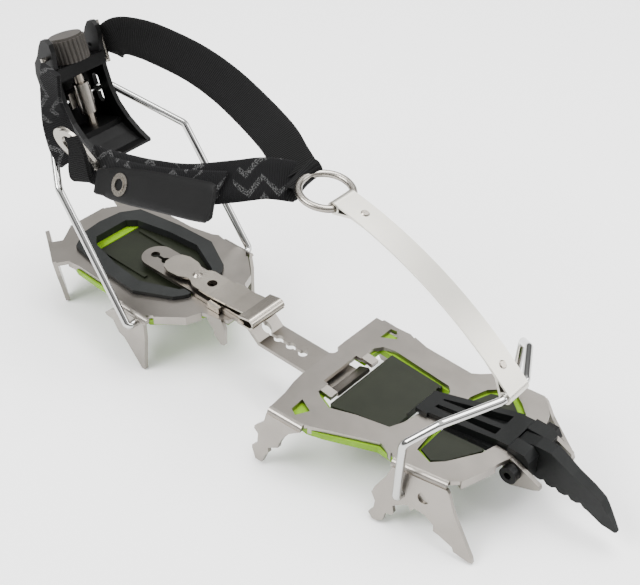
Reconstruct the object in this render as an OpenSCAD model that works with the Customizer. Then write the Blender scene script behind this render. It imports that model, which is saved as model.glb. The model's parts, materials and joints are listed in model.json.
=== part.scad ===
// Step-in crampon for one boot: toothed front and heel frames joined by a sliding link bar,
// a wire toe bail with its steel strap and ring, and a wire heel bail with a micro-adjust lever
// and ankle webbing. +X points to the toe, +Y to the inner side of the foot, +Z up.

/* [Frames] */
// Height of the frames' top faces above the point tips
frame_top = 34; // [32:0.5:36]
// Thickness of the stamped steel
steel_t = 2.3; // [2:0.1:2.5]
// Width of the link bar
bar_w = 18; // [16:0.5:19]
// Distance between neighbouring adjustment holes
hole_pitch = 8.3; // [8:0.1:8.6]

/* [Bails] */
// Diameter of the toe and heel bail wire
wire_d = 4; // [3.6:0.1:4]
// Radial clearance of a wire end in its hole
wire_play = 0.08; // [0.05:0.01:0.1]
// Width of the steel toe strap
toe_strap_w = 13.5; // [12:0.5:14]

/* [Heel lever] */
// Backward lean of the lever in degrees
lever_lean = 16.5; // [14:0.5:19]
// Width across the lever's side walls
lever_w = 32; // [31:0.5:33]
// Diameter of the adjusting screw
screw_d = 5; // [4.6:0.1:5]
// Diameter of the knob
knob_d = 19; // [17:0.5:20]

/* [Webbing] */
// Width of the ankle webbing
web_w = 19.5; // [18:0.5:20]
// Thickness of the ankle webbing
web_t = 1.6; // [1.4:0.1:1.8]

/* [Hidden] */
$fn = 48;

// middle of the whole crampon's footprint, which becomes the origin
mid_x = 12.35;
mid_y = 3.47;

under = frame_top - steel_t;
bend_r = 3;
wire_r = wire_d / 2;
hole_r = wire_r + wire_play;
// bend radii on the wire's centre line: at the hinge corners, and everywhere else
hinge_bend = 2.4;
wire_bend = 5;

// toe bail hinge line, the bail's own middle plane, and its straight crossbar
toe_x = 102.8;
toe_z = 20;
toe_y = 8.7;
toe_reach = 44.9;
toe_cross = [128.8, toe_y, 70.5];
toe_cross_half = 9;

// steel toe strap: an arc from the bail's crossbar back to the ring
ring_eye = [31, toe_y, 123.4];
strap_rise = 8;
strap_steel_t = 0.9;
eye_r = wire_r + wire_play;
ring_r = 12.5;
ring_wire_r = 1.75;
ring_straight = 14.5;
ring_tilt = 8;

// heel bail hinge line and the crossbar that the lever hangs on
heel_x = -67;
heel_z = 28.5;
heel_reach = 44.3;
cross_x = -143.9;
cross_z = 114.4;
cross_reach = 19.5;

// the lever's screw stands this far in front of the crossbar
screw_offset = 5.6;

bar_top_front = 29.2;
bar_top_heel = 36.5;
bar_t = 2.2;
pin_x = -61;
tooth_gap_y = 20;

module in_place() translate([-mid_x, -mid_y, 0]) children();

// a flat plate cut from an outline, its top face at height z
module plate(outline, z, t) translate([0, 0, z - t]) linear_extrude(t) polygon(outline);

// an upright toothed blade: outline in (along, up) from the outer bend line at p, swung out by splay
module blade(p, turn, splay, outline)
    translate(p) rotate([0, 0, turn]) rotate([90 - splay, 0, 0])
        translate([0, 0, -steel_t]) linear_extrude(steel_t) polygon(outline);

// the rounded bend above a blade, of the given length from p along turn
module bend(p, turn, length)
    translate(p) rotate([0, 0, turn]) rotate([90, 0, 90]) linear_extrude(length)
        translate([bend_r, -bend_r]) polygon(concat(
            [for (a = [90:15:180]) bend_r * [cos(a), sin(a)]],
            [for (a = [180:-15:90]) (bend_r - steel_t) * [cos(a), sin(a)]]));

// a turned-down lip of height h and thickness t that follows a chain of points
function lip_normal(p, i) =
    let (a = unit(p[max(i, 1)] - p[max(i, 1) - 1]), b = unit(p[min(i, len(p) - 2) + 1] - p[min(i, len(p) - 2)]))
    [-a.y - b.y, a.x + b.x] / (1 + a * b);
module lip(points, z, h, t)
    translate([0, 0, z - h]) linear_extrude(h) polygon(concat(
        [for (i = [0:len(points) - 1]) points[i] + lip_normal(points, i) * t / 2],
        [for (i = [len(points) - 1:-1:0]) points[i] - lip_normal(points, i) * t / 2]));

// moves children to p with their x, y and z along the given unit directions
module aligned(p, ex, ey, ez)
    multmatrix([[ex.x, ey.x, ez.x, p.x], [ex.y, ey.y, ez.y, p.y], [ex.z, ey.z, ez.z, p.z]]) children();

function unit(v) = v / norm(v);
function way(p, i) = unit(p[i + 1] - p[i]);
function bend_at(p, i) = i == 1 || i == len(p) - 2 ? hinge_bend : wire_bend;
function cut_back(p, i, e) = e * tan(acos(way(p, i - 1) * way(p, i)) / 2);
function elbow(p, i, e) =
    let (v = way(p, i - 1), u = way(p, i), x = cross(v, unit(cross(v, u))), a = acos(v * u),
        c = p[i] - v * cut_back(p, i, e) - x * e)
    [for (k = [0:5]) c + e * (x * cos(a * k / 5) + v * sin(a * k / 5))];
function along(q, i) = i == 0 ? way(q, 0) : i == len(q) - 1 ? way(q, i - 1)
    : unit(way(q, i - 1) + way(q, i));

// tube of radius r swept along q, where v and u are the directions at its two ends
module swept(q, r, v, u) {
    sides = 16;
    last = len(q) - 1;
    dirs = [for (i = [0:last]) i == 0 ? v : i == last ? u : along(q, i)];
    start = unit(cross(v, abs(v.z) < 0.9 ? [0, 0, 1] : [1, 0, 0]));
    marks = [for (i = 0, n = start; i <= last; i = i + 1,
        n = i <= last ? unit(n - dirs[i] * (n * dirs[i])) : n) n];
    points = [for (i = [0:last], k = [0:sides - 1])
        q[i] + r * (marks[i] * cos(360 * k / sides) + cross(dirs[i], marks[i]) * sin(360 * k / sides))];
    walls = [for (i = [0:last - 1], k = [0:sides - 1])
        let (a = i * sides + k, b = i * sides + (k + 1) % sides)
        each [[a, a + sides, b + sides], [a, b + sides, b]]];
    polyhedron(points, concat(walls, [[for (k = [0:sides - 1]) k],
        [for (k = [sides - 1:-1:0]) last * sides + k]]));
}

// straight round rod between two points, reaching a little into its neighbours
module rod(from, to, r) {
    u = unit(to - from);
    translate(from - 0.05 * u) rotate([0, acos(u.z), atan2(u.y, u.x)])
        cylinder(r = r, h = norm(to - from) + 0.1);
}

// wire with two mirrored halves: true rods at both ends and at the crossbar, bends between them
module wire(p, r) {
    last = len(p) - 1;
    half = (len(p) - 2) / 2;
    for (run = [[1, half], [half + 1, last - 1]])
        swept([for (i = [run[0]:run[1]]) each elbow(p, i, bend_at(p, i))], r - 0.02, way(p, run[0] - 1), way(p, run[1]));
    rod(p[0], p[1] - way(p, 0) * cut_back(p, 1, hinge_bend), r);
    rod(p[last], p[last - 1] + way(p, last - 1) * cut_back(p, last - 1, hinge_bend), r);
    rod(p[half] + way(p, half) * cut_back(p, half, wire_bend),
        p[half + 1] - way(p, half) * cut_back(p, half + 1, wire_bend), r);
}

// flat band of width w and thickness t: each station is [middle, direction across the band]
function band_dir(s, i) = unit(s[min(i + 1, len(s) - 1)][0] - s[max(i - 1, 0)][0]);
function band_ring(s, i, w, t) =
    let (a = unit(s[i][1]), n = unit(cross(band_dir(s, i), a)), m = s[i][0], h = w / 2, k = t / 2)
    [m - a * h - n * k, m + a * h - n * k, m + a * h + n * k, m - a * h + n * k];
module band(s, w, t) {
    last = len(s) - 1;
    points = [for (i = [0:last]) each band_ring(s, i, w, t)];
    sides = [for (i = [0:last - 1], j = [0:3])
        let (k = (j + 1) % 4, a = 4 * i + j, b = 4 * i + k)
        each [[a, b, b + 4], [a, b + 4, a + 4]]];
    polyhedron(points, concat(sides, [[3, 2, 1], [3, 1, 0]],
        [[0, 1, 2] + 4 * last * [1, 1, 1], [0, 2, 3] + 4 * last * [1, 1, 1]]));
}

// ---------- front frame ----------

front_outline = [
    [27, -14], [28, -22], [30, -30], [31, -41], [51, -40], [53, -38.5], [60, -35.5], [84, -24.5],
    [91, -26.5], [96, -28], [122, -23.2], [125, -20], [128, -11], [130.5, -3], [134, 7.8],
    [124, 8.5], [122, 0], [113, -15], [108, -20], [99, -17.5], [97, 0], [97, 26], [100, 35],
    [105, 40], [112, 42], [118, 38], [124, 32.5], [134, 33.6], [131, 41], [127, 46], [122, 49.3],
    [96, 45.5], [92, 42], [88, 39], [80, 38.5], [60, 39.5], [52, 41], [48, 42.5], [31, 41],
    [27, 41]
];
rear_window = [
    [38, -12], [38, 12], [41, 12], [41, 22], [44, 26], [50, 27.5], [85, 25], [88, 22], [88, 15],
    [84, -8], [81, -15], [65, -19], [52, -24], [44, -21], [41, -19], [41, -12]
];
near_lug_window = [[39, -28], [47, -31.5], [43.5, -38], [39.5, -36]];
far_lug_window = [[38, 30.5], [45.5, 35], [41.5, 39.5], [38, 39]];

// rear side point: a raked blade with two barbs on each edge and a chisel end
rear_point = [
    [0, -2.6], [-1, -8], [-2.5, -9.5], [-6.5, -13.5], [-6.5, -15], [-4, -17], [-4, -22.5],
    [-7, -25.5], [-7, -27], [-4.5, -32.5], [-0.5, -32.5], [1.5, -27], [3.2, -24.5], [2.6, -22],
    [8.5, -18.5], [8.8, -16], [10.5, -12], [14, -7], [20, -2.6]
];
// front side plate: barbed point behind, arch with a small tooth, long raked point in front
front_points = [
    [1, -2.6], [-1, -9], [-5.5, -16.5], [-6.6, -20], [-4.2, -24], [-4.4, -28], [-6.6, -31],
    [-4.2, -33.9], [-1.5, -33.9], [1.2, -32], [1.7, -28], [4.8, -27.6], [5.8, -26],
    [4.6, -22.5], [9.2, -19.6], [12, -18.6], [13.6, -20.8], [15, -18.8], [20.3, -19.7],
    [25.3, -23], [25.7, -26], [29, -27], [35.8, -30], [36.8, -32], [44.6, -33.9], [46.4, -33.7],
    [45.6, -31.4], [33, -12], [29.5, -4], [28.2, -2.6]
];
inner_tooth = [[0, 0], [3, -1], [15.5, -6.5], [16, -8.5], [13, -10.5], [1, -15.5], [-4, -9], [-4, 0]];

near_plate_at = [94.8, -31, frame_top];
near_plate_turn = 10.5;
near_plate_splay = 13.5;
far_plate_at = [95, -48.5, frame_top];
far_plate_turn = -6;
far_plate_splay = 4;
point_bolt_x = 135.5;
point_bolt_z = 27.5;

module front_side_plate(at, turn, splay) {
    bend(at, turn, 27.5);
    blade(at, turn, splay, front_points);
}

// turned-down edges, grown by g on every side for the grooves they press into
module front_lips(g) {
    lip([[52, -38.4], [60, -34.8], [84, -24], [92, -26.2]], frame_top, 5 + g, steel_t + 2 * g);
    lip([[51, 41], [60, 38.8], [88, 38.2], [92, 41], [96, 45]], frame_top, 5 + g, steel_t + 2 * g);
    lip([[124.4, -19.5], [127.4, -11], [130.2, -1.8]], frame_top, 5 + g, steel_t + 2 * g);
    lip([[28, -14], [29, -22], [31, -30], [32, -39]], frame_top, 4.5 + g, steel_t + 2 * g);
    lip([[28, 15], [28.2, 40]], frame_top, 4.5 + g, steel_t + 2 * g);
}
groove = 0.15;

module front_frame() in_place() color([0.74, 0.72, 0.69]) difference() {
    union() {
        difference() {
            plate(front_outline, frame_top, steel_t);
            plate(rear_window, frame_top + 1, steel_t + 2);
            plate(near_lug_window, frame_top + 1, steel_t + 2);
            plate(far_lug_window, frame_top + 1, steel_t + 2);
        }
        // rear points
        for (side = [0, 1]) mirror([0, side, 0]) {
            bend([31, -44, frame_top], 3, 20);
            blade([31, -44, frame_top], 3, 8, rear_point);
        }
        front_side_plate(near_plate_at, near_plate_turn, near_plate_splay);
        mirror([0, 1, 0]) front_side_plate(far_plate_at, far_plate_turn, far_plate_splay);
        // teeth on both sides of the front point
        for (y = [5.6, 32.1])
            translate([134, y + steel_t, frame_top - 0.5]) rotate([90, 0, 0])
                linear_extrude(steel_t) polygon(inner_tooth);
        front_lips(0);
        // guide tabs beside the link bar's head
        for (y = [-15.2, 15.2])
            translate([40, y - 2.4, frame_top - steel_t]) rotate([0, 6, 0]) cube([7.5, 4.8, steel_t]);
    }
    // toe bail holes, through both side plates
    translate([toe_x, toe_y - 60, toe_z]) rotate([-90, 0, 0]) cylinder(r = hole_r, h = 120);
    // sling holes beside the toe bail
    for (y = [-60, 40]) translate([113.5, y, frame_top - 11]) rotate([-90, 0, 0]) cylinder(r = 3, h = 30);
    // hole for the front point's bolt
    translate([point_bolt_x, 0, point_bolt_z]) rotate([-90, 0, 0]) cylinder(r = 3.1, h = 45);
    // pry notch in the rear edge
    translate([26, 8, frame_top - 5]) cylinder(r = 3, h = 10);
}

bumper_outline = [
    [31, -22], [33.6, -38], [52, -39.5], [60, -37], [84, -26.6], [92, -27], [118, -22],
    [125.6, -8], [129.5, 5], [124, 9], [124, 30], [126, 38], [118, 45], [97, 42], [88, 35.5],
    [60, 36.5], [47, 38], [31, 38], [31, 14], [42.4, 14], [42.4, -14], [31, -14]
];
bumper_top = under - 0.1;
module front_bumper() in_place() color([0.56, 0.72, 0.10]) difference() {
    plate(bumper_outline, bumper_top, 3.4);
    // the darker insert shows through here
    plate([[42, -18], [42, 26], [87, 24], [83, -14], [64, -18], [52, -22]], bumper_top + 1, 5);
    plate([[99, -15], [98, 26], [102, 36], [111, 40], [121, 32], [121, 2], [112, -14], [107, -18]],
        bumper_top + 1, 5);
    // room for the front housing
    plate([[82, -1], [82, 19], [121, 31], [130, 33], [130, 7], [121, 4]], bumper_top + 1, 5);
    // room for the guide tabs
    for (y = [-15.2, 15.2]) translate([38, y - 3, bumper_top - 3]) cube([11, 6, 5]);
    front_lips(groove);
}

module front_insert() in_place() color([0.24, 0.25, 0.20]) {
    difference() {
        plate([[50, -20.6], [50, 25.2], [82, 23.8], [82, -13.7], [64, -17.6], [52, -21.4]],
            frame_top - 1.2, 4.6);
        translate([81, -3, 20]) cube([10, 25, 20]);
    }
    difference() {
        plate([[99.5, -15], [98.5, 26], [102, 35.5], [111, 39.5], [120.5, 32], [120.5, 2],
            [111.8, -13.5], [106.8, -17.5]], frame_top - 1.6, 4.2);
        plate([[82, -1], [82, 19], [121, 31], [130, 33], [130, 7], [121, 4]], frame_top, 10);
    }
}

// ---------- front point ----------

housing_rails = [
    [[86, 2.2], [90, 2.2], [124, 9], [124, 11.6], [88, 7]],
    [[88, 9.4], [90, 9.4], [126, 17], [126, 20], [88, 12.8]],
    [[86, 14], [88, 13.4], [124, 27.4], [124, 31], [88, 17.6]]
];
module point_housing() in_place() color([0.17, 0.18, 0.17]) difference() {
    union() {
        // tray under the rails
        plate([[98.4, 3], [98.4, 20], [122, 30.2], [129.6, 30.6], [129.6, 9], [122, 6.6]],
            frame_top - 1.8, 3);
        for (r = housing_rails) plate(r, frame_top + 2.6, 4.4);
        // clamp over the middle crossbar
        plate([[83.5, 1], [90, 1], [90, 18], [83.5, 16]], frame_top + 2.6, 2.4);
        // front block that carries the spacers
        plate([[121, 8.6], [121, 30], [129.6, 30.8], [129.6, 9.4]], frame_top + 2.6, 5.6);
        plate([[121, 10.4], [121, 29.6], [129.6, 29.6], [129.6, 10.4]], frame_top, 12);
    }
    // the crossbar passes under the clamp
    translate([80, -5, frame_top - 3]) cube([17.4, 30, 3.2]);
}

module point_spacers() in_place() color([0.20, 0.21, 0.20]) difference() {
    for (y = [8.2, 23.9]) translate([129.9, y, 19]) cube([11.6, 7.9, 18]);
    translate([point_bolt_x, 0, point_bolt_z]) rotate([-90, 0, 0]) cylinder(r = 3.1, h = 45);
    // rounded front corners
    for (z = [19, 37]) translate([141.5, 0, z]) rotate([0, 45, 0]) cube([4.2, 90, 4.2], center = true);
}

point_t = 7.2;
point_profile = concat(
    [[130, 35.5], [139, 37.5], [147, 38], [153, 35.2], [159, 32], [168, 28.6], [174, 25.4],
     [178, 20], [183.5, 11.6], [182.6, 10.8], [176, 12.6], [168.5, 16.3]],
    // scalloped lower edge
    [for (i = [0:4]) let (x = 168 - 6.4 * i, z = 16.3 + 0.55 * i)
        each [[x - 1.4, z + 0.4], [x - 3.2, z + 2.2], [x - 5, z + 0.9]]],
    [[134, 18.6], [130, 22]]
);
module monopoint() in_place() color([0.18, 0.19, 0.18]) difference() {
    intersection() {
        translate([0, tooth_gap_y + point_t / 2, 0]) rotate([90, 0, 0])
            linear_extrude(point_t) polygon(point_profile);
        // the blade narrows towards its tip
        translate([0, tooth_gap_y, 0]) linear_extrude(60) polygon([[129, -3.5], [150, -3.5],
            [176, -2.4], [184, -1], [184, 1], [176, 2.4], [150, 3.5], [129, 3.5]]);
    }
    translate([point_bolt_x, 0, point_bolt_z]) rotate([-90, 0, 0]) cylinder(r = 3.1, h = 45);
}

module point_bolt() in_place() color([0.12, 0.12, 0.12]) translate([point_bolt_x, 0, point_bolt_z])
    rotate([-90, 0, 0]) difference() {
        union() {
            translate([0, 0, 1.4]) cylinder(r = 4.4, h = 4);
            translate([0, 0, 1.4]) cylinder(r = 3, h = 37);
        }
        translate([0, 0, 1]) cylinder(r = 2, h = 3, $fn = 6);
    }

module point_nut() in_place() color([0.16, 0.16, 0.16]) translate([point_bolt_x, 34.6, point_bolt_z])
    rotate([-90, 0, 0]) difference() {
        cylinder(r = 5, h = 4.2, $fn = 6);
        translate([0, 0, -1]) cylinder(r = 3.02, h = 7);
    }

// ---------- toe bail, strap and ring ----------

function toe_side(s) = [
    for (p = [[0, toe_reach - 10, 0], [0, toe_reach, 0], [2, toe_reach, 35.5], [12.2, toe_reach - 12, 45.5]])
        [toe_x + p.x, toe_y + s * p.y, toe_z + p.z]
];
module toe_bail() in_place() color([0.82, 0.82, 0.81])
    wire(concat(toe_side(-1), [toe_cross - [0, toe_cross_half, 0], toe_cross + [0, toe_cross_half, 0]],
        [for (i = [3:-1:0]) toe_side(1)[i]]), wire_r);

// the strap's arc, seen from the side: chord from eye to eye, centre below it
strap_chord = norm(toe_cross - ring_eye);
strap_r = (strap_chord * strap_chord / 4 + strap_rise * strap_rise) / (2 * strap_rise);
strap_slope = atan2(ring_eye.z - toe_cross.z, toe_cross.x - ring_eye.x);
strap_span = 2 * asin(strap_chord / 2 / strap_r);
strap_middle = (toe_cross + ring_eye) / 2
    - (strap_r - strap_rise) * [sin(strap_slope), 0, cos(strap_slope)];
rivet_angle = 3.6;

// places children at an angle along the arc: x outwards, y along, z to the side
module on_strap(angle)
    translate(strap_middle) rotate([90, 0, 0]) rotate([0, 0, 90 - strap_slope + angle]) children();

module toe_strap() in_place() color([0.90, 0.89, 0.86]) difference() {
    union() {
        on_strap(-strap_span / 2) translate([0, 0, -toe_strap_w / 2])
            rotate_extrude(angle = strap_span, $fn = 180)
                translate([strap_r + eye_r + 0.04, 0]) square([strap_steel_t, toe_strap_w]);
        // folded-back tail at each end
        for (e = [-1, 1]) on_strap(e * strap_span / 2) {
            translate([strap_r, 0, -toe_strap_w / 2]) cylinder(r = eye_r + strap_steel_t + 0.12, h = toe_strap_w);
            hull() {
                translate([strap_r - eye_r - strap_steel_t, -e * 0.5 - 0.5, -toe_strap_w / 2])
                    cube([strap_steel_t, 1, toe_strap_w]);
                translate([strap_r + eye_r - strap_steel_t + 0.1, -e * 9.5 - 0.5, -toe_strap_w / 2])
                    cube([strap_steel_t, 1, toe_strap_w]);
            }
            translate([strap_r + eye_r - strap_steel_t + 0.1, -e * 13 - 4, -toe_strap_w / 2])
                cube([strap_steel_t, 8, toe_strap_w]);
        }
    }
    for (e = [-1, 1]) on_strap(e * strap_span / 2) translate([strap_r, 0, -toe_strap_w])
        cylinder(r = eye_r, h = 2 * toe_strap_w);
    for (e = [-1, 1]) on_strap(e * (strap_span / 2 - rivet_angle)) translate([strap_r, 0, 0])
        rotate([0, 90, 0]) cylinder(r = 1.25, h = 10, center = true, $fn = 24);
}

module toe_strap_rivets() in_place() color([0.80, 0.78, 0.72])
    for (e = [-1, 1]) on_strap(e * (strap_span / 2 - rivet_angle)) translate([strap_r, 0, 0])
        rotate([0, 90, 0]) {
            translate([0, 0, eye_r - strap_steel_t - 0.4]) cylinder(r = 1.2, h = 2 * strap_steel_t + 0.6);
            translate([0, 0, eye_r + strap_steel_t]) cylinder(r1 = 2.1, r2 = 1.5, h = 0.6);
            translate([0, 0, eye_r - strap_steel_t - 0.7]) cylinder(r = 2, h = 0.5);
        }

// D-shaped ring: its straight side turns in the strap's rear eye
ring_lean = asin(ring_straight / 2 / ring_r);
ring_flat = ring_r * cos(ring_lean);
module strap_ring() in_place() color([0.70, 0.69, 0.66])
    translate(ring_eye) rotate([0, ring_tilt, 0]) translate([-ring_flat, 0, 0]) {
        rotate([0, 0, ring_lean - 1]) rotate_extrude(angle = 362 - 2 * ring_lean, $fn = 96)
            translate([ring_r, 0]) circle(ring_wire_r, $fn = 24);
        translate([ring_flat, -ring_straight / 2 - 0.6, 0]) rotate([-90, 0, 0])
            cylinder(r = ring_wire_r, h = ring_straight + 1.2, $fn = 24);
    }

// ---------- link bar and heel frame ----------

// the bar is low at the toe end and steps up to run over the heel frame
bar_jog = [-16, -8];
bar_rear_x = -101;
bar_head_x = 41.5;
module link_bar() in_place() color([0.68, 0.66, 0.64]) difference() {
    union() {
        // heel part with its round end
        translate([bar_rear_x + bar_w / 2, -bar_w / 2, bar_top_heel - bar_t])
            cube([bar_jog[0] - bar_rear_x - bar_w / 2 + 0.3, bar_w, bar_t]);
        translate([bar_rear_x + bar_w / 2, 0, bar_top_heel - bar_t]) cylinder(r = bar_w / 2, h = bar_t);
        // step down and toe part
        translate([0, bar_w / 2, 0]) rotate([90, 0, 0]) linear_extrude(bar_w) polygon([
            [bar_jog[0], bar_top_heel], [bar_jog[1], bar_top_front], [bar_head_x, bar_top_front],
            [bar_head_x, bar_top_front - bar_t], [bar_jog[1] - 0.8, bar_top_front - bar_t],
            [bar_jog[0] - 0.8, bar_top_heel - bar_t]]);
        // head that hooks into the front frame's slot
        translate([bar_head_x, -11.7, bar_top_front - bar_t]) rotate([0, -22, 0]) cube([6.4, 23.4, bar_t]);
        translate([bar_head_x - 0.5, -bar_w / 2, bar_top_front - bar_t]) cube([1.6, bar_w, bar_t]);
    }
    // adjustment holes joined by a narrow slit
    for (i = [-4:9]) translate([pin_x + hole_pitch * i, 0, 20]) cylinder(r = 2.5, h = 30, $fn = 32);
    translate([pin_x - 4 * hole_pitch, -0.9, 20]) cube([13 * hole_pitch, 1.8, 30]);
}

heel_half = [
    [-27.5, 0], [-27.5, 11], [-31, 12], [-44, 16], [-47, 24], [-60, 34.5], [-62, 36.5],
    [-78, 36.5], [-84, 37.5], [-88, 35.5], [-101, 32.5], [-119, 32.2], [-130, 33.5], [-143, 26],
    [-151.5, 13], [-152.5, 0]
];
heel_window_half = [
    [-56, 0], [-56, 12], [-60, 17], [-80, 27], [-104, 26], [-132, 22], [-138, 13], [-139.5, 0]
];
function both_sides(half) =
    concat(half, [for (i = [len(half) - 1:-1:0]) if (half[i].y != 0) [half[i].x, -half[i].y]]);

// side point below the heel bail's eye, raked forwards, with a barb behind
heel_side_point = [
    [1, -2.6], [-3, -5.5], [-8, -7.6], [-12, -11.4], [-11, -12.6], [-5.8, -13], [-1.8, -19],
    [2.4, -20.4], [6.5, -24.4], [15.5, -33.8], [17.6, -33.4], [19.2, -12], [18.6, -2.6]
];
heel_rear_point = [
    [0, 0], [-8, 1.5], [-10, -1], [-6, -7.5], [-1, -12.5], [-1.6, -14.5], [3, -20], [2.4, -22.5],
    [6.5, -31.5], [10, -33.6], [13, -33], [16.5, -17], [19.6, -10], [20, 0]
];
heel_nose_point = [[0, 0], [-9, 0], [-9, -3.5], [-5, -9], [-5.4, -11.4], [-1, -17], [1.4, -16.4], [2, -6]];

module heel_lips(g) {
    for (side = [0, 1]) mirror([0, side, 0]) {
        lip([[-59, -33.4], [-46.4, -23], [-43.4, -15.4]], frame_top, 5 + g, steel_t + 2 * g);
        lip([[-87, -34.6], [-101, -31.6], [-119, -31.2], [-128, -32.2]], frame_top, 4 + g, steel_t + 2 * g);
    }
    lip([[-151.4, -12], [-151.4, 12]], frame_top, 4 + g, steel_t + 2 * g);
}

module heel_frame() in_place() color([0.74, 0.72, 0.69]) difference() {
    union() {
        difference() {
            plate(both_sides(heel_half), frame_top, steel_t);
            plate(both_sides(heel_window_half), frame_top + 1, steel_t + 2);
        }
        for (side = [0, 1]) mirror([0, side, 0]) {
            // side points with the heel bail's eyes
            bend([-79, -39.5, frame_top], 0, 20);
            blade([-79, -39.5, frame_top], 0, 3, heel_side_point);
            // rear corner points
            translate([-148, -28.5, frame_top - steel_t]) rotate([0, 0, -31]) cube([20, 7, steel_t]);
            blade([-150.3, -29.6, frame_top - 0.3], -31, -7, heel_rear_point);
            // small nose points
            translate([-31, -11, frame_top]) rotate([0, 0, 8]) rotate([90, 0, 0])
                linear_extrude(steel_t) polygon(heel_nose_point);
        }
        heel_lips(0);
    }
    // heel bail holes
    translate([heel_x, -60, heel_z]) rotate([-90, 0, 0]) cylinder(r = hole_r, h = 120);
    // slots for the clip's tabs
    for (y = [-11.2, 9.2]) translate([-43, y, 20]) cube([9, 2, 20]);
}

bumper_half = [
    [-30, 0], [-30, 9], [-41.5, 10.4], [-44, 14.5], [-47, 24], [-60, 35.5], [-76, 34], [-88, 33.6], [-104, 33.8],
    [-120, 33.2], [-130, 30], [-141, 23], [-149, 12], [-149, 0]
];
module heel_bumper() in_place() color([0.56, 0.72, 0.10]) difference() {
    plate(both_sides(bumper_half), frame_top - steel_t - 0.1, 3.2);
    // room for the insert and the clip's tabs
    plate([[-62, -13], [-62, 13], [-80, 24], [-104, 23], [-126, 19], [-126, -19], [-104, -23], [-80, -24]],
        frame_top, 12);
    for (y = [-11.4, 9]) translate([-43.2, y, 20]) cube([9.4, 2.4, 20]);
    heel_lips(groove);
}

insert_half = [[-62.3, 0], [-62.3, 12.6], [-80, 23.6], [-104, 22.6], [-125.7, 18.6], [-125.7, 0]];
module heel_insert() in_place() color([0.26, 0.28, 0.21]) {
    plate(both_sides(insert_half), 31.2, 2.4);
    // low ribs beside the bar's path
    for (s = [-1, 1]) translate([-122, s * 13 - 1, 31]) cube([34, 2, 1.4]);
}

rim_inner_half = [
    [-50, 0], [-50, 9.7], [-61, 9.7], [-63, 12], [-84, 21], [-104, 19.5], [-126, 15], [-131, 10.5],
    [-131, 0]
];
module heel_pad_rim() in_place() color([0.25, 0.26, 0.25]) difference() {
    union() {
        plate(both_sides([[-56.2, 0], [-56.2, 11.8], [-60.2, 16.8], [-80.1, 26.8], [-104, 25.8],
            [-131.8, 21.8], [-137.8, 12.9], [-139.3, 0]]), 36.2, 4.5);
        // flange that lies on the frame
        plate(both_sides([[-57, 0], [-57, 13.5], [-60.6, 18.4], [-80.4, 28.6], [-104.6, 27.6],
            [-132.8, 23.4], [-139.4, 13.6], [-141, 0]]), 36.2, 2.1);
    }
    plate(both_sides(rim_inner_half), 40, 12);
}

// ---------- spring clip ----------

clip_t = 1.2;
clip_w = 16;
roll_x = -12.5;
roll_z = 40.1;
roll_r = 3.3;
roll_w = 23;
leaf_z = 39.8;

module clip_base() in_place() color([0.80, 0.78, 0.74]) {
    // lower half of the rolled front end
    translate([roll_x, roll_w / 2, roll_z]) rotate([90, 0, 0])
        rotate(-90.5) rotate_extrude(angle = 76) translate([roll_r - clip_t, 0]) square([clip_t, roll_w]);
    translate([-43, -clip_w / 2, roll_z - roll_r]) cube([roll_x + 43, clip_w, clip_t]);
    translate([roll_x - 8, -roll_w / 2, roll_z - roll_r]) cube([8, roll_w, clip_t]);
    translate([-42.6, -10.9, roll_z - roll_r]) cube([8.2, 21.8, clip_t]);
    for (y = [-11, 9.5]) translate([-42.6, y, 30]) cube([8.2, 1.5, roll_z - roll_r - 30 + clip_t]);
}

module spring_clip() in_place() color([0.82, 0.80, 0.76]) difference() {
    union() {
        // upper half of the rolled front end
        translate([roll_x, roll_w / 2, roll_z]) rotate([90, 0, 0]) linear_extrude(roll_w) polygon(concat(
            [for (a = [-2:11.5:90]) roll_r * [cos(a), sin(a)]],
            [[-7, roll_r - 1.3], [-7, roll_r - 1.3 - clip_t]],
            [for (a = [90:-11.5:-2]) (roll_r - clip_t) * [cos(a), sin(a)]]));
        // leaf that slopes back to the pin
        translate([0, clip_w / 2, 0]) rotate([90, 0, 0]) linear_extrude(clip_w) polygon([
            [roll_x - 6, roll_z + roll_r - 1.16], [roll_x - 6, roll_z + roll_r - 1.08 - clip_t],
            [-30, leaf_z + 1.2 - clip_t], [-45, leaf_z - clip_t], [-56, leaf_z - clip_t],
            [-56, leaf_z], [-45, leaf_z], [-30, leaf_z + 1.2]]);
        // waisted neck and finger paddle
        translate([0, 0, leaf_z - clip_t]) linear_extrude(clip_t) polygon([
            [-55.9, -8], [-58, -7.4], [-60.5, -5.6], [-63, -5.2], [-66, -6.6], [-68, -7.6], [-75, -8.2],
            [-80, -6.6], [-82.4, -3], [-82.4, 3], [-80, 6.6], [-75, 8.2], [-68, 7.6], [-66, 6.6],
            [-63, 5.2], [-60.5, 5.6], [-58, 7.4], [-55.9, 8]]);
    }
    translate([-50, 0, 30]) cylinder(r = 2.75, h = 20);
    translate([pin_x, 0, 30]) cylinder(r = 2.25, h = 20);
}

module clip_pin() in_place() color([0.62, 0.60, 0.57]) translate([pin_x, 0, 0]) {
    // shoulder above the bar, thin neck in its slit, domed head on the clip
    translate([0, 0, bar_top_heel + 0.4]) cylinder(r = 2.2, h = leaf_z - bar_top_heel - 0.2);
    translate([0, 0, 33]) cylinder(r = 0.6, h = bar_top_heel - 32.4);
    translate([0, 0, leaf_z]) cylinder(r1 = 2.7, r2 = 1.4, h = 1.1);
}

// ---------- heel bail and lever ----------

function heel_side(s) = [
    [heel_x, s * (heel_reach - 8.3), heel_z], [heel_x, s * heel_reach, heel_z], [-111, s * 42.6, 92.6],
    [cross_x, s * cross_reach, cross_z]
];
module heel_bail() in_place() color([0.82, 0.82, 0.81])
    wire(concat(heel_side(-1), [for (i = [len(heel_side(1)) - 1:-1:0]) heel_side(1)[i]]), wire_r);

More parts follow.
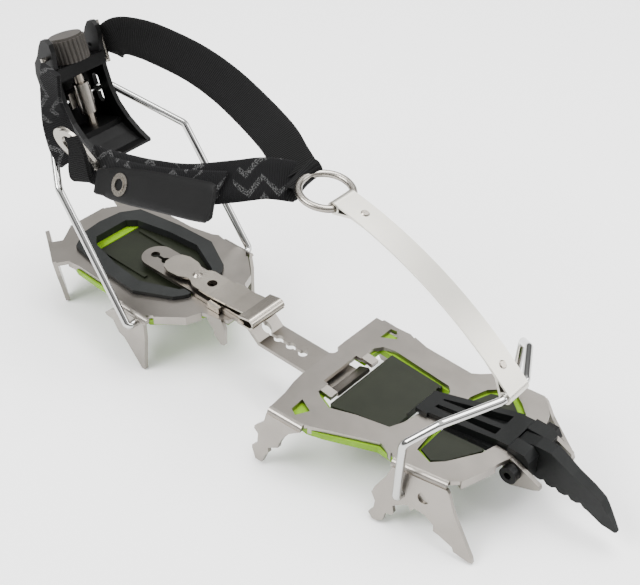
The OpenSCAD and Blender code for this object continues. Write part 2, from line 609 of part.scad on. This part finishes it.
lever_at = [cross_x + screw_offset * cos(lever_lean), 0, cross_z + screw_offset * sin(lever_lean)];
// lever's own frame: x towards the boot, z along the screw
module on_lever() translate(lever_at) rotate([0, -lever_lean, 0]) children();
screw_r = screw_d / 2;
screw_play = 0.06;
wall_t = 2.6;
inside_w = lever_w - 2 * wall_t;
lever_travel = 5;

module carriage() in_place() color([0.74, 0.73, 0.71]) on_lever() difference() {
    union() {
        translate([0, 0, -8]) cylinder(r = 4.2, h = 16);
        translate([-screw_offset - 2.9, -7, -4]) cube([screw_offset, 14, 8]);
    }
    translate([0, 0, -9]) cylinder(r = screw_r + screw_play, h = 18);
    translate([-screw_offset, -10, 0]) rotate([-90, 0, 0]) cylinder(r = hole_r, h = 20);
}

lever_side = [
    [-12, -20], [-5, -25], [6, -29], [17, -30], [23.5, -28.6], [24, -27.2], [18, -22.4], [12, -16],
    [7, -8], [4.6, 1], [4.6, 12], [6.5, 22], [8.8, 30], [8.6, 34], [6, 36.4], [2.5, 36.2],
    [-1, 33], [-5, 28], [-9.6, 24], [-12, 18]
];
module lever_body() in_place() color([0.10, 0.10, 0.10]) on_lever() difference() {
    union() {
        for (y = [-lever_w / 2 + wall_t, lever_w / 2]) translate([0, y, 0]) rotate([90, 0, 0])
            linear_extrude(wall_t) polygon(lever_side);
        // back web, with room for the carriage
        translate([-12, -lever_w / 2 + 1, -20]) cube([2.2, lever_w - 2, 36]);
        // lower shelf that ends the screw
        translate([-11, -lever_w / 2 + 1, -18.6]) cube([18, lever_w - 2, 3]);
        // upper housing that the knob turns on
        translate([-11, -lever_w / 2 + 1, 14]) cube([18, lever_w - 2, 6.2]);
        // curved lip that grips the boot's heel
        translate([0, lever_w / 2, 0]) rotate([90, 0, 0]) linear_extrude(lever_w) polygon([
            [4, -18.6], [7, -18.6], [12, -22.4], [18, -26.4], [24, -27.2], [23.5, -28.6], [16, -29],
            [10, -26.4], [5, -22]]);
    }
    // screw's bearing holes
    translate([0, 0, -30]) cylinder(r = screw_r + screw_play, h = 20);
    translate([0, 0, 12]) cylinder(r = 4.3, h = 10);
    // slots for the crossbar
    for (y = [-lever_w / 2 - 1, lever_w / 2 - wall_t - 1]) translate([-screw_offset, y, 0]) {
        translate([-2.5, 0, -lever_travel - 0.5]) cube([5, wall_t + 2, 2 * lever_travel + 1]);
        for (z = [-lever_travel - 0.5, lever_travel + 0.5])
            translate([0, 0, z]) rotate([-90, 0, 0]) cylinder(r = 2.5, h = wall_t + 2);
    }
}

module lever_screw() in_place() color([0.66, 0.65, 0.63]) on_lever()
    translate([0, 0, -22.5]) cylinder(r = screw_r, h = 48);

knob_h = 13;
knob_flute = 0.8;
module lever_knob() in_place() color([0.43, 0.42, 0.40]) on_lever() translate([0, 0, 20.6]) difference() {
    union() {
        linear_extrude(knob_h - 1.2) polygon([for (i = [0:71])
            (knob_d / 2 - (i % 3 == 0 ? knob_flute : 0)) * [cos(5 * i), sin(5 * i)]]);
        translate([0, 0, knob_h - 1.2]) cylinder(r = knob_d / 2 - 1, h = 1.2);
    }
    translate([0, 0, -1]) cylinder(r = screw_r - 0.01, h = 8);
}

module lever_cap() in_place() color([0.66, 0.56, 0.47]) on_lever() translate([0, 0, -22.6])
    difference() {
        cylinder(r = 3.6, h = 3.7);
        translate([0, 0, -1]) cylinder(r = screw_r - 0.01, h = 8);
    }

module web_bar(s) on_lever() {
    translate([3.4, s * (lever_w / 2 + 2.6), s > 0 ? 13 : 4]) cylinder(r = 1.1, h = s > 0 ? 22 : 24);
    for (z = s > 0 ? [14.2, 33.8] : [5.2, 26.8])
        translate([3.4, s * (lever_w / 2 + 2.6), z]) rotate([s * 90, 0, 0])
            cylinder(r = 1.1, h = 2.8);
}
module web_bar_inner() in_place() color([0.75, 0.74, 0.72]) web_bar(1);
module web_bar_outer() in_place() color([0.75, 0.74, 0.72]) web_bar(-1);

// ---------- ankle webbing and buckle ----------

plain_route = [
    [[-130.5, 22.4, 145], [-0.28, 0, 0.96]], [[-120, 24.5, 145.8], [-0.2, 0.3, 0.93]],
    [[-108, 27.5, 145.4], [-0.12, 0.5, 0.85]], [[-87, 31, 142], [0, 0.66, 0.75]],
    [[-66, 31, 138], [0.1, 0.74, 0.66]], [[-43, 27, 134], [0.2, 0.8, 0.57]],
    [[-19, 19.5, 131.5], [0.2, 0.84, 0.5]], [[-6, 13.5, 129], [0.1, 0.88, 0.47]]
];
patterned_route = [
    [[3, 6.6, 124.4], [0, 0.9, 0.44]], [[-5, -3, 126.4], [-0.22, 0.76, 0.6]],
    [[-15, -13.5, 125], [-0.38, 0.54, 0.75]], [[-34, -23.4, 119.6], [-0.42, 0.46, 0.78]],
    [[-53, -27.6, 115.4], [-0.4, 0.48, 0.78]], [[-70, -29.4, 112], [-0.4, 0.49, 0.78]],
    [[-87, -30, 108.8], [-0.37, 0.5, 0.78]]
];
tail_route = [
    [[-86, -33.5, 107.4], [-0.37, 0.5, 0.78]], [[-70, -33, 110.6], [-0.4, 0.49, 0.78]],
    [[-53, -31.2, 114.2], [-0.4, 0.48, 0.78]], [[-34, -27.2, 118.4], [-0.42, 0.46, 0.78]],
    [[-18, -20.8, 121.4], [-0.4, 0.5, 0.77]]
];
tab_route = [
    [[-85, -37.3, 106.2], [-0.36, 0.5, 0.78]], [[-78, -37, 108.2], [-0.36, 0.51, 0.78]],
    [[-67.9, -36.6, 111], [-0.36, 0.51, 0.78]], [[-45, -36, 117.6], [-0.34, 0.53, 0.78]],
    [[-7, -34.6, 127.2], [-0.34, 0.53, 0.78]]
];
anchor_route = [
    [[-131.6, -22.6, 143.6], [0.96, 0, 0.28]], [[-133.6, -23.2, 128], [0.97, 0.1, 0.2]],
    [[-129.6, -25.4, 117], [0.92, 0.34, 0.1]], [[-121, -28.4, 110], [0.75, 0.6, 0.3]]
];

module webbing_plain() in_place() color([0.07, 0.07, 0.07]) band(plain_route, web_w, web_t);
module webbing_patterned() in_place() color([0.12, 0.12, 0.13]) band(patterned_route, web_w, web_t);
module webbing_tail() in_place() color([0.14, 0.14, 0.15]) band(tail_route, web_w, web_t);
module webbing_anchor() in_place() color([0.07, 0.07, 0.07]) band(anchor_route, 11, 2.4);

buckle_w = 29;
buckle_h = 15;
buckle_bar = 3.2;
buckle_t = 1.8;
buckle_long = unit([0.60, 0.22, -0.77]);
buckle_short = unit(cross(unit([-0.22, -0.93, 0.29]), buckle_long));
// flat ring with round ends
module buckle_ring(at) aligned(at, buckle_short, buckle_long, cross(buckle_short, buckle_long))
    difference() {
        union() {
            translate([-buckle_h / 2, (buckle_h - buckle_w) / 2, 0])
                cube([buckle_h, buckle_w - buckle_h, buckle_t]);
            for (s = [-1, 1]) translate([0, s * (buckle_w - buckle_h) / 2, 0])
                cylinder(r = buckle_h / 2, h = buckle_t);
        }
        translate([buckle_bar - buckle_h / 2, (buckle_h - buckle_w) / 2, -1])
            cube([buckle_h - 2 * buckle_bar, buckle_w - buckle_h, buckle_t + 2]);
        for (s = [-1, 1]) translate([0, s * (buckle_w - buckle_h) / 2, -1])
            cylinder(r = buckle_h / 2 - buckle_bar, h = buckle_t + 2);
    }
module buckle_ring_upper() in_place() color([0.66, 0.64, 0.60]) buckle_ring([-102, -34.5, 112.5]);
module buckle_ring_lower() in_place() color([0.66, 0.64, 0.60]) buckle_ring([-107.5, -32.5, 110.8]);

grommet_i = 2;
grommet_r = 5.6;
module on_tab() {
    n = unit(cross(band_dir(tab_route, grommet_i), unit(tab_route[grommet_i][1])));
    translate(tab_route[grommet_i][0]) rotate([0, acos(n.z), atan2(n.y, n.x)]) children();
}
module pull_tab() in_place() color([0.12, 0.12, 0.12]) difference() {
    band(tab_route, 17, 1.8);
    on_tab() cylinder(r = 3.6, h = 20, center = true);
}
module tab_grommet() in_place() color([0.78, 0.76, 0.72]) on_tab() difference() {
    union() {
        cylinder(r = grommet_r, h = 2.8, center = true);
        cylinder(r = 3.58, h = 3.4, center = true);
    }
    cylinder(r = 2.9, h = 20, center = true);
}

front_frame();
front_bumper();
front_insert();
point_housing();
point_spacers();
monopoint();
point_bolt();
point_nut();
toe_bail();
toe_strap();
toe_strap_rivets();
strap_ring();
link_bar();
heel_frame();
heel_bumper();
heel_insert();
heel_pad_rim();
clip_base();
spring_clip();
clip_pin();
heel_bail();
carriage();
lever_body();
lever_screw();
lever_knob();
lever_cap();
web_bar_inner();
web_bar_outer();
webbing_plain();
webbing_patterned();
webbing_tail();
webbing_anchor();
buckle_ring_upper();
buckle_ring_lower();
pull_tab();
tab_grommet();
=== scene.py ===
import json
import math

import bpy
from mathutils import Matrix, Vector


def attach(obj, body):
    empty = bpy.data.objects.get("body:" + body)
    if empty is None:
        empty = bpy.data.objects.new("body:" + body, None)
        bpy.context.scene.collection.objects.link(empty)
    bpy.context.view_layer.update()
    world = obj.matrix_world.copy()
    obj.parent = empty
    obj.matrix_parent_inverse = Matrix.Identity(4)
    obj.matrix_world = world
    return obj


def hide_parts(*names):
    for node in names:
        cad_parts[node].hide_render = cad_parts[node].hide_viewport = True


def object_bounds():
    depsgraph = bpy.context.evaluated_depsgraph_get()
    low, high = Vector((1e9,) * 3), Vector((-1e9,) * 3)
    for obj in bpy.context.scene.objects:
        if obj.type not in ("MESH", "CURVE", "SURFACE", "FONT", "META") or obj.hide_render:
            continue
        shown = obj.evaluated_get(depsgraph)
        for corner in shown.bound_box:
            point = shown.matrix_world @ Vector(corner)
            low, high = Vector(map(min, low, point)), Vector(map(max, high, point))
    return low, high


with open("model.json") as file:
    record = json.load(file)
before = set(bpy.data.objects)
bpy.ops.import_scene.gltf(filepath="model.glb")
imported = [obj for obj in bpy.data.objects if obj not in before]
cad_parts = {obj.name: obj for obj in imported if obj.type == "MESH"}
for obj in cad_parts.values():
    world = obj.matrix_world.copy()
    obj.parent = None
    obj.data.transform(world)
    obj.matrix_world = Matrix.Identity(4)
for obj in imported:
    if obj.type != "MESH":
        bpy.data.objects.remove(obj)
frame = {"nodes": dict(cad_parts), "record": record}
cad_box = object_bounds()
nodes = frame["nodes"]

MID_X, MID_Y = 12.35, 3.47


def at(x, y, z):
    """A point of the design, in millimetres from the design's own axes, in the row frame."""
    return Vector(((x - MID_X) / 1000, (y - MID_Y) / 1000, z / 1000))


# ---------- materials ----------

def new_material(name, color, metallic, rough):
    mat = bpy.data.materials.new(name)
    mat.use_nodes = True
    tree = mat.node_tree
    bsdf = tree.nodes["Principled BSDF"]
    bsdf.inputs["Base Color"].default_value = (*color, 1)
    bsdf.inputs["Metallic"].default_value = metallic
    bsdf.inputs["Roughness"].default_value = rough
    return mat, tree, bsdf


def node(tree, kind, **inputs):
    n = tree.nodes.new(kind)
    for key, value in inputs.items():
        n.inputs[key.replace("_", " ")].default_value = value
    return n


def math_node(tree, op, a, b=None, c=None):
    n = tree.nodes.new("ShaderNodeMath")
    n.operation = op
    for i, v in enumerate((a, b, c)):
        if v is None:
            continue
        if isinstance(v, (int, float)):
            n.inputs[i].default_value = v
        else:
            tree.links.new(v, n.inputs[i])
    return n.outputs[0]


def ramp(tree, fac, stops):
    n = tree.nodes.new("ShaderNodeValToRGB")
    elements = n.color_ramp.elements
    while len(elements) < len(stops):
        elements.new(0.5)
    for e, (pos, color) in zip(elements, stops):
        e.position = pos
        e.color = (*color, 1) if len(color) == 3 else (color[0],) * 3 + (1,)
    tree.links.new(fac, n.inputs[0])
    return n.outputs[0]


def noisy(tree, coord, scale, detail=3.0, stretch=(1, 1, 1)):
    m = node(tree, "ShaderNodeMapping", Scale=stretch)
    tree.links.new(coord, m.inputs[0])
    n = node(tree, "ShaderNodeTexNoise", Scale=scale, Detail=detail)
    tree.links.new(m.outputs[0], n.inputs["Vector"])
    return n.outputs[0]


def bump(tree, bsdf, height, strength, distance):
    n = node(tree, "ShaderNodeBump", Strength=strength, Distance=distance)
    tree.links.new(height, n.inputs["Height"])
    tree.links.new(n.outputs[0], bsdf.inputs["Normal"])


def metal(name, color, rough, brushed=(1, 1, 1), spread=0.07, dark=0.88, bumpy=0.06):
    mat, tree, bsdf = new_material(name, color, 1.0, rough)
    coord = tree.nodes.new("ShaderNodeTexCoord").outputs["Object"]
    fine = noisy(tree, coord, 900, 4, brushed)
    broad = noisy(tree, coord, 60, 3)
    tree.links.new(math_node(tree, "MULTIPLY_ADD", fine, spread * 2, rough - spread), bsdf.inputs["Roughness"])
    shade = ramp(tree, broad, [(0.35, [c * dark for c in color]), (0.65, color)])
    tree.links.new(shade, bsdf.inputs["Base Color"])
    bump(tree, bsdf, fine, bumpy, 0.0002)
    return mat


def plastic(name, color, rough, grain=0.12, scale=1400, shine=0.5):
    mat, tree, bsdf = new_material(name, color, 0.0, rough)
    coord = tree.nodes.new("ShaderNodeTexCoord").outputs["Object"]
    fine = noisy(tree, coord, scale, 2)
    broad = noisy(tree, coord, 90, 3)
    shade = ramp(tree, broad, [(0.3, [c * 0.86 for c in color]), (0.7, [c * 1.1 for c in color])])
    tree.links.new(shade, bsdf.inputs["Base Color"])
    bump(tree, bsdf, fine, grain, 0.0002)
    bsdf.inputs["Specular IOR Level"].default_value = shine
    return mat


RIB_PITCH, YARN_PITCH = 0.0011, 0.0009
ZIGZAG_LENGTH, ZIGZAG_ROW, ZIGZAG_WIDTH = 0.0075, 0.0044, 0.0016


def woven(name, base, light=None):
    """Webbing: ribs across the band from the UV map, with a zigzag of lighter yarn where light is given."""
    mat, tree, bsdf = new_material(name, base, 0.0, 0.8)
    uv = tree.nodes.new("ShaderNodeUVMap").outputs[0]
    split = tree.nodes.new("ShaderNodeSeparateXYZ")
    tree.links.new(uv, split.inputs[0])
    u, v = split.outputs[0], split.outputs[1]
    rib = math_node(tree, "SINE", math_node(tree, "MULTIPLY", u, 2 * math.pi / RIB_PITCH))
    yarn = math_node(tree, "SINE", math_node(tree, "MULTIPLY", v, 2 * math.pi / YARN_PITCH))
    weave = math_node(tree, "MULTIPLY", rib, yarn)
    height = math_node(tree, "ADD", rib, math_node(tree, "MULTIPLY", weave, 0.6))
    bump(tree, bsdf, height, 0.5, 0.00035)
    # painted highlight and painted shade: the webbing's colour is lighter where the weave's crossings stand
    # high and darker where they sink, from 0.55 to 1.5 times the base colour
    lit = math_node(tree, "MULTIPLY_ADD", weave, 0.25, 0.5)
    plain = ramp(tree, lit, [(0.2, [c * 0.55 for c in base]), (0.8, [c * 1.5 for c in base])])
    color = plain
    if light:
        speck = noisy(tree, uv, 1500, 1)
        wave = math_node(tree, "PINGPONG", u, ZIGZAG_LENGTH)
        across = math_node(tree, "PINGPONG", math_node(tree, "ADD", v, wave), ZIGZAG_ROW)
        band = math_node(tree, "LESS_THAN", across, ZIGZAG_WIDTH)
        patch = math_node(tree, "GREATER_THAN", noisy(tree, uv, 70, 0), 0.5)
        grey = math_node(tree, "MULTIPLY", band, patch)
        grey = math_node(tree, "MULTIPLY", grey, math_node(tree, "GREATER_THAN", speck, 0.5))
        mix = tree.nodes.new("ShaderNodeMix")
        mix.data_type = "RGBA"
        tree.links.new(grey, mix.inputs[0])
        tree.links.new(plain, mix.inputs[6])
        mix.inputs[7].default_value = (*light, 1)
        color = mix.outputs[2]
    tree.links.new(color, bsdf.inputs["Base Color"])
    bsdf.inputs["Sheen Weight"].default_value = 0.02
    bsdf.inputs["Specular IOR Level"].default_value = 0.08
    bsdf.inputs["Sheen Roughness"].default_value = 0.6
    return mat


MATS = {
    "frame_steel": metal("satin_stainless", (0.27, 0.25, 0.225), 0.32),
    "lime_plastic": plastic("lime_plastic", (0.135, 0.27, 0.001), 0.5, shine=0.2),
    "olive_plastic": plastic("olive_plastic", (0.010, 0.012, 0.0065), 0.42, shine=0.18),
    "forged_steel": plastic("black_forged", (0.0045, 0.005, 0.0048), 0.45, 0.25, 500, shine=0.14),
    "black_bolt": plastic("black_bolt", (0.003, 0.003, 0.003), 0.4, shine=0.14),
    "bail_wire": metal("polished_wire", (0.46, 0.46, 0.45), 0.10, (1, 1, 1), 0.03, 0.93, 0.02),
    "strap_steel": metal("bright_strip", (0.56, 0.54, 0.485), 0.36, (12, 1, 1), 0.06, 0.95, 0.03),
    "rivet_steel": metal("rivet_steel", (0.34, 0.31, 0.27), 0.28),
    "ring_steel": metal("ring_steel", (0.30, 0.28, 0.25), 0.26),
    "bar_steel": metal("bar_steel", (0.26, 0.24, 0.215), 0.30, (1, 10, 1)),
    "rim_plastic": plastic("rim_plastic", (0.013, 0.014, 0.0135), 0.48, 0.2, shine=0.18),
    "clip_steel": metal("clip_steel", (0.38, 0.35, 0.305), 0.24, (1, 8, 1)),
    "lever_plastic": plastic("lever_plastic", (0.002, 0.002, 0.002), 0.45, 0.15, shine=0.12),
    "screw_steel": metal("screw_steel", (0.36, 0.32, 0.27), 0.30),
    "knob_plastic": plastic("knob_plastic", (0.040, 0.036, 0.032), 0.5, 0.2, shine=0.2),
    "webbing": woven("webbing_black", (0.0025, 0.0025, 0.0025)),
    "webbing_grey": woven("webbing_pattern", (0.0035, 0.0035, 0.0038), (0.05, 0.05, 0.05)),
    "tab_rubber": plastic("tab_rubber", (0.0035, 0.0035, 0.0035), 0.5, 0.1, 2600, shine=0.12),
}
SLOT_OF = {s["node"]: s["material_slot"] for s in frame["record"]["subparts"]}
for name, obj in nodes.items():
    for s in obj.material_slots:
        s.link = "OBJECT"
        s.material = MATS[SLOT_OF[name]]


# ---------- pieces ----------

def piece(name, verts, faces, slot, body, stands_for=(), uvs=None, smooth=True):
    mesh = bpy.data.meshes.new(name)
    mesh.from_pydata([tuple(v) for v in verts], [], faces)
    if uvs:
        layer = mesh.uv_layers.new(name="UVMap")
        for loop in mesh.loops:
            layer.data[loop.index].uv = uvs[loop.vertex_index]
    mesh.materials.append(MATS[slot])
    mesh.validate()
    if smooth:
        mesh.polygons.foreach_set("use_smooth", [True] * len(mesh.polygons))
    obj = bpy.data.objects.new(name, mesh)
    bpy.context.scene.collection.objects.link(obj)
    if smooth:
        mesh.set_sharp_from_angle(angle=math.radians(38))
    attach(obj, body)
    if stands_for:
        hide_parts(*stands_for)
    return obj


WIRE_R, WIRE_BEND, HINGE_BEND = 0.002, 0.005, 0.0024


def elbowed(points, steps=10):
    """The points of a wire's centre line: tight bends at the hinge corners, wider ones elsewhere."""
    out = [points[0]]
    for i, (a, p, b) in enumerate(zip(points, points[1:], points[2:])):
        bend = HINGE_BEND if i in (0, len(points) - 3) else WIRE_BEND
        v, u = (p - a).normalized(), (b - p).normalized()
        turn = v.angle(u)
        n = v.cross(u).normalized()
        x = v.cross(n)
        centre = p - v * bend * math.tan(turn / 2) - x * bend
        out += [centre + bend * (x * math.cos(turn * k / steps) + v * math.sin(turn * k / steps))
                for k in range(steps + 1)]
    return out + [points[-1]]


def frames_along(points):
    """A direction, side and top at each point, carried along without twist."""
    last = len(points) - 1
    dirs = [(points[min(i + 1, last)] - points[max(i - 1, 0)]).normalized() for i in range(last + 1)]
    side = dirs[0].orthogonal().normalized()
    out = []
    for d in dirs:
        side = (side - d * side.dot(d)).normalized()
        out.append((d, side, d.cross(side)))
    return out


def tube(points, radius, sides=28, cap=0.25):
    """Round wire with slightly rounded ends."""
    d0, d1 = (points[1] - points[0]).normalized(), (points[-1] - points[-2]).normalized()
    c = radius * cap
    path = [points[0], points[0] + d0 * c] + points[1:-1] + [points[-1] - d1 * c, points[-1]]
    radii = [radius - c] + [radius] * (len(path) - 2) + [radius - c]
    verts, faces = [], []
    for p, r, (_, a, b) in zip(path, radii, frames_along(path)):
        verts += [p + r * (a * math.cos(t) + b * math.sin(t))
                  for t in (2 * math.pi * k / sides for k in range(sides))]
    for i in range(len(path) - 1):
        for k in range(sides):
            a, b = i * sides + k, i * sides + (k + 1) % sides
            faces.append((a, b, b + sides, a + sides))
    faces += [tuple(reversed(range(sides))), tuple((len(path) - 1) * sides + k for k in range(sides))]
    return verts, faces


def toe_side(s):
    """One half of the toe wire, from the end in its hole to the crossbar's end."""
    hinge_x, hinge_y, hinge_z, reach = 102.8, 8.7, 20, 44.9
    return [at(hinge_x + x, hinge_y + s * y, hinge_z + z) for x, y, z in
            ((0, reach - 10, 0), (0, reach, 0), (2, reach, 35.5), (12.2, reach - 12, 45.5), (26, 9, 50.5))]


def heel_side(s):
    """One half of the heel wire, from the end in its hole to the crossbar's end."""
    return [at(x, s * y, z) for x, y, z in
            ((-67, 36, 28.5), (-67, 44.3, 28.5), (-111, 42.6, 92.6), (-143.9, 19.5, 114.4))]


toe_wire = elbowed(toe_side(-1) + toe_side(1)[::-1])
heel_wire = elbowed(heel_side(-1) + heel_side(1)[::-1])
piece("toe_bail_wire", *tube(toe_wire, WIRE_R), "bail_wire", "toe_bail", ["toe_bail"])
piece("heel_bail_wire", *tube(heel_wire, WIRE_R), "bail_wire", "heel_bail", ["heel_bail"])


# ---------- flat bands ----------

def spline(stations, per=14):
    """Catmull-Rom through stations of (middle, across, width)."""
    pts = [(at(*m), Vector(a).normalized(), w) for m, a, w in stations]
    pts = [pts[0]] + pts + [pts[-1]]
    out = []
    for i in range(1, len(pts) - 2):
        for k in range(per):
            t = k / per
            h = (-t + 2 * t * t - t ** 3, 2 - 5 * t * t + 3 * t ** 3,
                 t + 4 * t * t - 3 * t ** 3, t ** 3 - t * t)
            p = sum((pts[i - 1 + j][0] * h[j] for j in range(4)), Vector()) / 2
            a = pts[i][1].lerp(pts[i + 1][1], t).normalized()
            out.append((p, a, pts[i][2] * (1 - t) + pts[i + 1][2] * t))
    return out + [pts[-2]]


def band(stations, thick, per=14, cut=0.0):
    """A flat strap with rounded edges. cut slants its far end, in metres."""
    line = spline(stations, per)
    last = len(line) - 1
    lower = [(-1, 0), (-0.94, -0.75), (-0.9, -1), (-0.5, -1), (0, -1), (0.5, -1), (0.9, -1), (0.94, -0.75)]
    section = lower + [(-x, -y) for x, y in lower]
    n = len(section)
    verts, uvs, faces = [], [], []
    length = 0.0
    for i, (p, a, w) in enumerate(line):
        d = (line[min(i + 1, last)][0] - line[max(i - 1, 0)][0]).normalized()
        normal = d.cross(a).normalized()
        across = normal.cross(d).normalized()
        if i:
            length += (p - line[i - 1][0]).length
        for x, y in section:
            slide = cut * x * max(0.0, 1 - (last - i) / (per * 0.8)) if cut else 0.0
            verts.append(p + across * x * w / 2000 + normal * (y * thick / 2) + d * slide)
            uvs.append((length + slide, x * w / 2000 + y * thick / 2))
    for i in range(last):
        for k in range(n):
            a, b = i * n + k, i * n + (k + 1) % n
            faces.append((a, b, b + n, a + n))
    faces += [tuple(reversed(range(n))), tuple(last * n + k for k in range(n))]
    return verts, faces, uvs


def strap(name, stations, slot, body, stands_for, thick=0.0016, **how):
    verts, faces, uvs = band(stations, thick, **how)
    return piece(name, verts, faces, slot, body, stands_for, uvs)


W = 19.5
PLAIN = [((-141.5, 19.6, 134.5), (0.42, 0, 0.9), W), ((-137.5, 20.6, 140.6), (-0.1, 0, 0.99), W),
         ((-131, 22.4, 145), (-0.2, 0.1, 0.97), W), ((-120, 24.7, 146.4), (-0.2, 0.3, 0.93), W),
         ((-108, 27.5, 145.4), (-0.12, 0.5, 0.85), W),
         ((-87, 31, 142), (0, 0.66, 0.75), W), ((-66, 31, 138), (0.1, 0.74, 0.66), W),
         ((-43, 27, 134), (0.2, 0.8, 0.57), W), ((-19, 19.5, 131.5), (0.2, 0.84, 0.5), W),
         ((-6, 13.5, 129), (0.1, 0.88, 0.47), W), ((4, 9.0, 127), (0, 0.9, 0.44), W)]
LOOP = [((4, 9.0, 127), (0, 0.9, 0.44), W), ((7.4, 8.4, 127.6), (0, 0.93, 0.36), W),
        ((9.6, 8.3, 125.6), (0, 0.95, 0.3), W), ((8.4, 8.0, 122.6), (0, 0.95, 0.3), W),
        ((4, 6.8, 123.2), (0, 0.92, 0.4), W)]
PATTERNED = [((4, 6.8, 123.2), (0, 0.92, 0.4), W), ((-5, -3, 126), (-0.22, 0.76, 0.6), W),
             ((-15, -13.5, 125), (-0.38, 0.54, 0.75), W), ((-34, -23.4, 119.6), (-0.42, 0.46, 0.78), W),
             ((-53, -27.6, 115.4), (-0.4, 0.48, 0.78), W), ((-70, -29.4, 112), (-0.4, 0.49, 0.78), W),
             ((-88, -30, 108.6), (-0.37, 0.5, 0.78), W), ((-99, -30.4, 107.4), (-0.36, 0.52, 0.78), W - 1)]
TAIL = [((-84, -33.4, 107.8), (-0.37, 0.5, 0.78), W), ((-70, -33, 110.6), (-0.4, 0.49, 0.78), W),
        ((-53, -31.2, 114.2), (-0.4, 0.48, 0.78), W), ((-34, -27.2, 118.4), (-0.42, 0.46, 0.78), W),
        ((-18, -20.8, 121.4), (-0.4, 0.5, 0.77), W)]
ANCHOR = [((-131.6, -22.6, 143.6), (0.96, 0, 0.28), 14), ((-133.6, -23.4, 128), (0.97, 0.1, 0.2), 15),
          ((-129.6, -25.8, 117), (0.92, 0.34, 0.1), 16), ((-121, -29.4, 109), (0.75, 0.6, 0.3), 16),
          ((-112, -33, 104.4), (0.7, 0.5, 0.46), 13)]
FOLD_ACROSS = (0.93, 0.3, 0.2)
FOLD = [((-101.5, -36.5, 124), FOLD_ACROSS, 5), ((-97.4, -38, 116.5), FOLD_ACROSS, 10),
        ((-96.8, -38.6, 108), FOLD_ACROSS, 12.5), ((-96.8, -38.4, 104), FOLD_ACROSS, 12.5),
        ((-96.8, -37.2, 101.8), FOLD_ACROSS, 11)]

strap("webbing_far_arc", PLAIN, "webbing", "heel_bail", ["webbing_plain"])
strap("webbing_ring_loop", LOOP, "webbing", "heel_bail", [], per=8)
strap("webbing_near_band", PATTERNED, "webbing_grey", "heel_bail", ["webbing_patterned"])
strap("webbing_free_tail", TAIL, "webbing_grey", "heel_bail", ["webbing_tail"], cut=0.004)
strap("webbing_lever_band", ANCHOR, "webbing_grey", "heel_bail", ["webbing_anchor"], thick=0.0024)
strap("webbing_ring_fold", FOLD, "webbing", "heel_bail", [], thick=0.003)

TAB = [((-85.6, -37.4, 106.1), (-0.36, 0.5, 0.78), 12), ((-84.4, -37.4, 106.4), (-0.36, 0.5, 0.78), 12.8),
       ((-80, -37.1, 107.6), (-0.36, 0.51, 0.78), 13), ((-74, -36.9, 109.3), (-0.36, 0.51, 0.78), 15.5),
       ((-60, -36.5, 113.3), (-0.36, 0.51, 0.78), 17.4), ((-45, -36, 117.6), (-0.34, 0.53, 0.78), 18),
       ((-20, -35.2, 123.9), (-0.34, 0.53, 0.78), 18.6), ((-10, -34.7, 126.5), (-0.34, 0.53, 0.78), 18.2),
       ((-7.6, -34.6, 127), (-0.34, 0.53, 0.78), 16), ((-6.6, -34.6, 127.3), (-0.34, 0.53, 0.78), 12)]
strap("rubber_pull_tab", TAB, "tab_rubber", "pull_tab", ["pull_tab"], thick=0.0018)

# ---------- floor, light and camera ----------

FLOOR_REACH = 30.0
FLOOR_CORNERS = [(x * FLOOR_REACH, y * FLOOR_REACH, 0) for x, y in ((-1, -1), (1, -1), (1, 1), (-1, 1))]
floor_mesh = bpy.data.meshes.new("floor")
floor_mesh.from_pydata(FLOOR_CORNERS, [], [(0, 1, 2, 3)])
floor_mesh.materials.append(new_material("floor_white", (0.93, 0.93, 0.93), 0.0, 0.9)[0])
floor = bpy.data.objects.new("floor", floor_mesh)
floor.location.z = cad_box[0][2] - 0.0003
bpy.context.scene.collection.objects.link(floor)

world = bpy.data.worlds.new("studio")
bpy.context.scene.world = world
world.use_nodes = True
sky = world.node_tree
height = sky.nodes.new("ShaderNodeSeparateXYZ")
sky.links.new(sky.nodes.new("ShaderNodeTexCoord").outputs["Generated"], height.inputs[0])
# bright above and at the horizon, with a darker ring between that the metals reflect
SKY_STOPS = [(0.0, (0.75,)), (0.05, (0.6,)), (0.13, (0.10,)), (0.35, (0.26,)), (0.6, (1.0,))]
sky.links.new(ramp(sky, height.outputs[2], SKY_STOPS),
              sky.nodes["Background"].inputs[0])
sky.nodes["Background"].inputs[1].default_value = 1.5


def area_light(name, place, target, size, power):
    data = bpy.data.lights.new(name, "AREA")
    data.shape = "RECTANGLE"
    data.size, data.size_y = size
    data.energy = power
    obj = bpy.data.objects.new(name, data)
    obj.location = place
    obj.rotation_euler = (Vector(target) - Vector(place)).to_track_quat("-Z", "Y").to_euler()
    bpy.context.scene.collection.objects.link(obj)


area_light("key", (-0.5, -0.9, 1.1), (0, 0, 0.05), (0.9, 0.6), 30)
area_light("top", (0.1, 0.3, 1.3), (0, 0, 0.05), (1.1, 0.8), 32)
area_light("rim", (0.8, 0.9, 0.6), (0, 0, 0.06), (0.7, 0.5), 8)

AZ, EL, DIST = math.radians(41.80), math.radians(38.81), 0.55146
LOOK_AT = at(25.03, 0, 73.93)
back = Vector((math.sin(AZ) * math.cos(EL), -math.cos(AZ) * math.cos(EL), math.sin(EL)))
right = Vector((0, 0, 1)).cross(back).normalized()
up = back.cross(right)
camera_data = bpy.data.cameras.new("camera")
camera_data.sensor_width = 36
camera_data.lens = 66.257
camera_data.clip_start = 0.01
camera = bpy.data.objects.new("camera", camera_data)
turn = Matrix((right, up, back)).transposed().to_4x4()
camera.matrix_world = Matrix.Translation(LOOK_AT + back * DIST) @ turn
bpy.context.scene.collection.objects.link(camera)
bpy.context.scene.camera = camera
